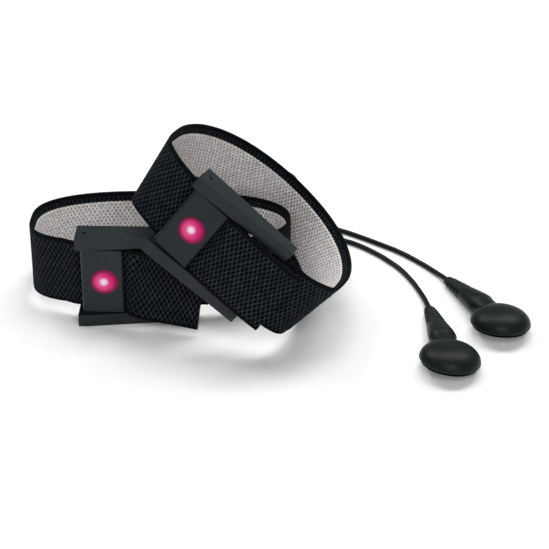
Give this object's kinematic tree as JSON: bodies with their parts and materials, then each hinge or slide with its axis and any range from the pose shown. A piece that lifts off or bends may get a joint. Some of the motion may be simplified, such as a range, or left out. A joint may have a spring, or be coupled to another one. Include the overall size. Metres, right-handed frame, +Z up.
{
  "type": "antistatic wrist strap",
  "caption": "Elastic earthing wrist straps with silver-fibre lining, cam-lever buckles and thin snap leads; one strap leans on the other.",
  "frame": {"origin": "on the floor, under the middle of the box round the straps, without their free leads", "axes": "+X from the lower strap towards the leads' snap heads, +Y from the buckles' faces to the back, +Z up"},
  "size_m": [0.1725, 0.1385, 0.0656],
  "materials": {
    "webbing": "black woven elastic, matt",
    "lining": "pale grey knitted silver-fibre lining, matt",
    "buckle_plastic": "satin black moulded plastic",
    "snap_steel": "nickel-plated steel",
    "thread": "black polyester thread",
    "moulding": "semi-gloss black soft moulding",
    "lead_sheath": "satin black sheath",
    "tie": "satin black",
    "resistor_body": "lacquered, sealed inside the wrist cap"
  },
  "bodies": {
    "straps": {"band_a": "webbing", "lining_a": "lining", "buckle_frame_a": "buckle_plastic", "pivot_pin_a": "snap_steel", "bar_tack_a": "thread", "stud_a": "snap_steel", "rivet_a": "snap_steel", "wrist_cap_a": "moulding", "wrist_socket_a": "snap_steel", "resistor_a": "resistor_body", "lead_a_start": "lead_sheath", "lead_a_coil": "lead_sheath", "lead_a_end": "lead_sheath", "coil_tie_a": "tie", "snap_head_a": "moulding", "snap_socket_a": "snap_steel", "band_b": "webbing", "lining_b": "lining", "buckle_frame_b": "buckle_plastic", "pivot_pin_b": "snap_steel", "bar_tack_b": "thread", "stud_b": "snap_steel", "rivet_b": "snap_steel", "wrist_cap_b": "moulding", "wrist_socket_b": "snap_steel", "resistor_b": "resistor_body", "lead_b_start": "lead_sheath", "lead_b_coil": "lead_sheath", "lead_b_end": "lead_sheath", "coil_tie_b": "tie", "snap_head_b": "moulding", "snap_socket_b": "snap_steel"},
    "lever_a": {"cam_lever_a": "buckle_plastic"},
    "lever_b": {"cam_lever_b": "buckle_plastic"}
  },
  "joints": [
    {"name": "lever_a_hinge", "type": "hinge", "parent": "straps", "child": "lever_a", "pos_m": [-0.03497, -0.01427, 0.0171], "axis": [0, 0, -1], "range_deg": [0, 85]},
    {"name": "lever_b_hinge", "type": "hinge", "parent": "straps", "child": "lever_b", "pos_m": [-0.00177, -0.02312, 0.04641], "axis": [-0.6008, 0.0309, -0.7988], "range_deg": [0, 85]}
  ]
}
